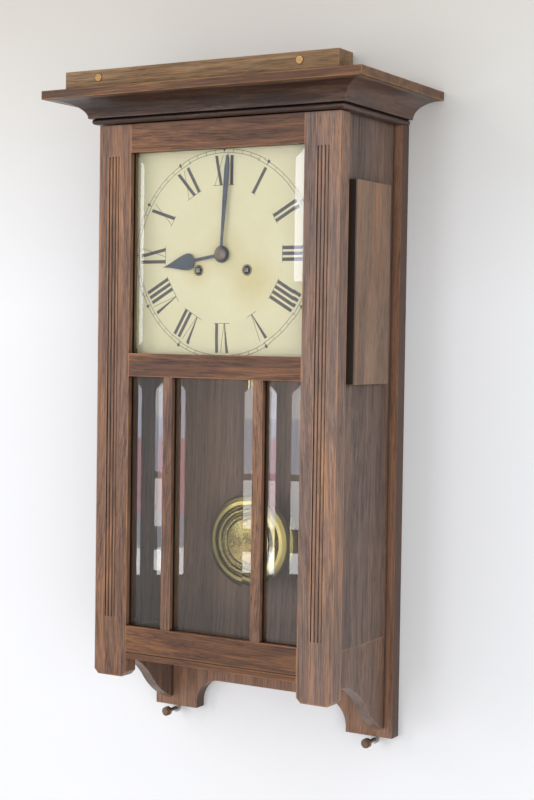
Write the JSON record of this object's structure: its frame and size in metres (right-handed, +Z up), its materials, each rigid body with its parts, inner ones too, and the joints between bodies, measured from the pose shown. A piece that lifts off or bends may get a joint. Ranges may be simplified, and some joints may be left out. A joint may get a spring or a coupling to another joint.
{
  "type": "pendulum wall clock",
  "caption": "Wall clock in a stained oak case: glazed hinged door with bevelled panes, cream dial, two-train movement, gong, pendulum, and a hanging plate on the back.",
  "frame": {"origin": "mouth of the hanging hole in the plate on the back, in the plane of the wall", "axes": "+Z up, +Y into the wall, -Y towards the viewer, X across the dial"},
  "size_m": [0.373, 0.1825, 0.722],
  "materials": {
    "oak_door": "satin",
    "oak_case": "satin",
    "oak_back": "satin",
    "oak_cornice": "satin",
    "oak_cove": "semi gloss",
    "crest_wood": "matt",
    "dowel_wood": "matt",
    "block_wood": "satin",
    "bead_wood": "satin",
    "bevelled_glass": "polished",
    "cream_dial": "satin",
    "blued_steel": "satin",
    "bronze": "satin",
    "plate_brass": "satin",
    "wheel_brass": "polished",
    "grey_steel": "satin",
    "gong_steel": "blued",
    "aged_screw": "dull",
    "pendulum_brass": "polished",
    "bob_brass": "spun"
  },
  "bodies": {
    "case": {"back_board": "oak_back", "side_boards": "oak_case", "side_brackets": "oak_case", "case_floor": "oak_case", "frieze_rail": "oak_case", "cornice_board": "oak_cornice", "cove_front": "oak_cove", "cove_sides": "oak_cove", "crest_batten": "crest_wood", "crest_dowels": "dowel_wood", "side_blocks": "block_wood", "hanger_plate": "plate_brass", "case_screws": "grey_steel", "movement_brackets": "grey_steel", "catch_clip": "plate_brass", "hinge_case_leaves": "plate_brass", "dial_plate": "cream_dial", "front_plate": "plate_brass", "back_plate": "plate_brass", "suspension_cock": "plate_brass", "gong": "gong_steel"},
    "door": {"door_stile_left": "oak_door", "door_stile_right": "oak_door", "door_top_rail": "oak_door", "door_middle_rail": "oak_door", "door_bottom_rail": "oak_door", "muntins": "oak_door", "dial_glass": "bevelled_glass", "centre_glass": "bevelled_glass", "side_glasses": "bevelled_glass", "glazing_beads": "bead_wood", "hinge_door_leaves": "plate_brass", "catch_stud": "plate_brass"},
    "left_screw": {"stabiliser_screw_left": "aged_screw"},
    "right_screw": {"stabiliser_screw_right": "aged_screw"},
    "minute_work": {"minute_hand": "blued_steel", "hand_collet": "bronze", "centre_wheel": "wheel_brass"},
    "hour_work": {"hour_hand": "blued_steel", "hour_wheel": "wheel_brass"},
    "minute_wheel_unit": {"minute_wheel": "wheel_brass"},
    "time_barrel_unit": {"time_barrel": "wheel_brass"},
    "time_second_unit": {"time_second_wheel": "wheel_brass"},
    "third_unit": {"third_wheel": "wheel_brass"},
    "escape_unit": {"escape_wheel": "wheel_brass"},
    "anchor_unit": {"anchor": "grey_steel"},
    "time_arbor_unit": {"time_arbor": "grey_steel"},
    "time_click_unit": {"time_click": "grey_steel"},
    "strike_barrel_unit": {"strike_barrel": "wheel_brass"},
    "strike_second_unit": {"strike_second_wheel": "wheel_brass"},
    "pin_unit": {"pin_wheel": "wheel_brass"},
    "locking_unit": {"locking_wheel": "wheel_brass"},
    "fly_unit": {"fly": "wheel_brass"},
    "hammer_unit": {"hammer": "grey_steel"},
    "strike_arbor_unit": {"strike_arbor": "grey_steel"},
    "strike_click_unit": {"strike_click": "grey_steel"},
    "pendulum": {"suspension_spring": "grey_steel", "pendulum_rods": "pendulum_brass", "pendulum_bob": "bob_brass"},
    "nut_unit": {"rating_nut": "pendulum_brass"}
  },
  "joints": [
    {"name": "door_hinge", "type": "hinge", "parent": "case", "child": "door", "pos_m": [-0.1415, -0.1207, -0.198], "axis": [0, 0, -1], "range_deg": [0, 100]},
    {"name": "left_screw_travel", "type": "slide", "parent": "case", "child": "left_screw", "axis": [0, 1, 0], "range_m": [-0.005, 0.0025]},
    {"name": "right_screw_travel", "type": "slide", "parent": "case", "child": "right_screw", "axis": [0, 1, 0], "range_m": [-0.005, 0.0025]},
    {"name": "minute_spin", "type": "hinge", "parent": "case", "child": "minute_work", "pos_m": [0, -0.102, -0.198], "axis": [0, 1, 0], "continuous": true},
    {"name": "hour_spin", "type": "hinge", "parent": "case", "child": "hour_work", "pos_m": [0, -0.11, -0.198], "axis": [0, 1, 0], "continuous": true},
    {"name": "minute_wheel_spin", "type": "hinge", "parent": "case", "child": "minute_wheel_unit", "pos_m": [-0.01061, -0.106, -0.18739], "axis": [0, 1, 0], "continuous": true},
    {"name": "time_barrel_spin", "type": "hinge", "parent": "case", "child": "time_barrel_unit", "pos_m": [0.029, -0.098, -0.214], "axis": [0, 1, 0], "continuous": true},
    {"name": "time_second_spin", "type": "hinge", "parent": "case", "child": "time_second_unit", "pos_m": [0.02277, -0.084, -0.18294], "axis": [0, 1, 0], "continuous": true},
    {"name": "third_spin", "type": "hinge", "parent": "case", "child": "third_unit", "pos_m": [-0.014, -0.084, -0.17562], "axis": [0, 1, 0], "continuous": true},
    {"name": "escape_spin", "type": "hinge", "parent": "case", "child": "escape_unit", "pos_m": [0, -0.084, -0.15865], "axis": [0, 1, 0], "continuous": true},
    {"name": "pendulum_swing", "type": "hinge", "parent": "case", "child": "pendulum", "pos_m": [0, -0.054, -0.13865], "axis": [0, 1, 0], "range_deg": [-3, 3]},
    {"name": "anchor_swing", "type": "hinge", "parent": "case", "child": "anchor_unit", "pos_m": [0, -0.084, -0.13865], "axis": [0, 1, 0], "range_deg": [-3, 3]},
    {"name": "time_winding", "type": "hinge", "parent": "case", "child": "time_arbor_unit", "pos_m": [0.029, -0.104, -0.214], "axis": [0, 1, 0], "continuous": true},
    {"name": "time_click_lift", "type": "hinge", "parent": "case", "child": "time_click_unit", "pos_m": [0.029, -0.104, -0.2005], "axis": [0, 1, 0], "range_deg": [-15, 0]},
    {"name": "pin_wheel_spin", "type": "hinge", "parent": "case", "child": "pin_unit", "pos_m": [-0.034, -0.084, -0.16403], "axis": [0, 1, 0], "continuous": true},
    {"name": "strike_barrel_spin", "type": "hinge", "parent": "case", "child": "strike_barrel_unit", "pos_m": [-0.029, -0.098, -0.214], "axis": [0, 1, 0], "continuous": true},
    {"name": "strike_second_spin", "type": "hinge", "parent": "case", "child": "strike_second_unit", "pos_m": [-0.038, -0.084, -0.18363], "axis": [0, 1, 0], "continuous": true},
    {"name": "locking_spin", "type": "hinge", "parent": "case", "child": "locking_unit", "pos_m": [-0.02, -0.084, -0.15272], "axis": [0, 1, 0], "continuous": true},
    {"name": "fly_spin", "type": "hinge", "parent": "case", "child": "fly_unit", "pos_m": [-0.03, -0.084, -0.14114], "axis": [0, 1, 0], "continuous": true},
    {"name": "hammer_lift", "type": "hinge", "parent": "case", "child": "hammer_unit", "pos_m": [-0.051, -0.084, -0.15253], "axis": [0, 1, 0], "range_deg": [0, 12]},
    {"name": "strike_winding", "type": "hinge", "parent": "case", "child": "strike_arbor_unit", "pos_m": [-0.029, -0.104, -0.214], "axis": [0, 1, 0], "continuous": true},
    {"name": "strike_click_lift", "type": "hinge", "parent": "case", "child": "strike_click_unit", "pos_m": [-0.029, -0.104, -0.2005], "axis": [0, 1, 0], "range_deg": [-15, 0]},
    {"name": "nut_spin", "type": "hinge", "parent": "pendulum", "child": "nut_unit", "pos_m": [0, -0.054, -0.54965], "axis": [0, 0, 1], "continuous": true}
  ],
  "couplings": [
    {"joint": "hour_spin", "follows": "minute_spin", "ratio": 0.083333},
    {"joint": "minute_wheel_spin", "follows": "minute_spin", "ratio": -0.33333},
    {"joint": "time_second_spin", "follows": "minute_spin", "ratio": -0.16667},
    {"joint": "time_barrel_spin", "follows": "minute_spin", "ratio": 0.02381},
    {"joint": "third_spin", "follows": "minute_spin", "ratio": -10},
    {"joint": "escape_spin", "follows": "minute_spin", "ratio": 100},
    {"joint": "anchor_swing", "follows": "pendulum_swing", "ratio": 1},
    {"joint": "strike_second_spin", "follows": "pin_wheel_spin", "ratio": -0.11111},
    {"joint": "strike_barrel_spin", "follows": "pin_wheel_spin", "ratio": 0.015873},
    {"joint": "locking_spin", "follows": "pin_wheel_spin", "ratio": -8},
    {"joint": "fly_spin", "follows": "pin_wheel_spin", "ratio": 60}
  ]
}
